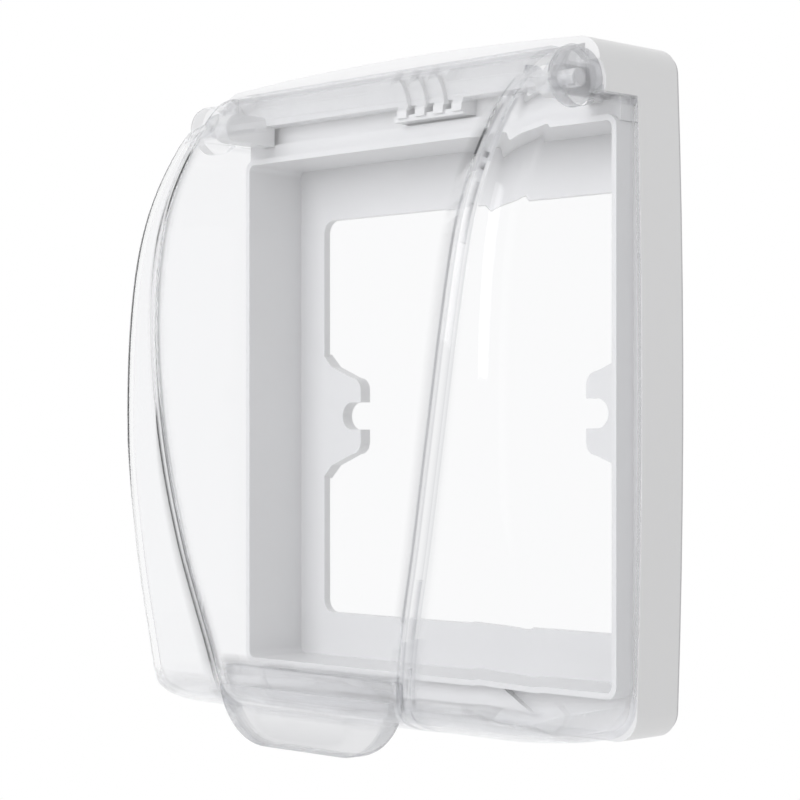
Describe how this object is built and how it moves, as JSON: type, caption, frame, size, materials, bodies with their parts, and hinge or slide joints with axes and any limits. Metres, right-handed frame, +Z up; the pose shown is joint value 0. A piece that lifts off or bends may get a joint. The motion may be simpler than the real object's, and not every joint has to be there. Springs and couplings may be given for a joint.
{
  "type": "switch splash cover",
  "caption": "Splash cover for a wall switch: a white frame that screws over the switch box and a clear domed lid that hinges up from its top.",
  "frame": {"origin": "on the wall plane, midway between the two fixing screws", "axes": "+Y into the wall, -Y out of the front, +Z up towards the hinge, +X to the right seen from the front"},
  "size_m": [0.096, 0.0471, 0.1199],
  "materials": {
    "white_plastic": "smooth moulded white plastic, satin to gloss",
    "clear_plastic": "clear polished plastic",
    "seal_foam": "closed-cell foam"
  },
  "bodies": {
    "base": {"base_frame": "white_plastic", "wall_seal": "seal_foam"},
    "lid": {"lid": "clear_plastic"}
  },
  "joints": [
    {"name": "lid_hinge", "type": "hinge", "parent": "base", "child": "lid", "pos_m": [0, -0.0245, 0.0537], "axis": [-1, 0, 0], "range_deg": [0, 105]}
  ]
}
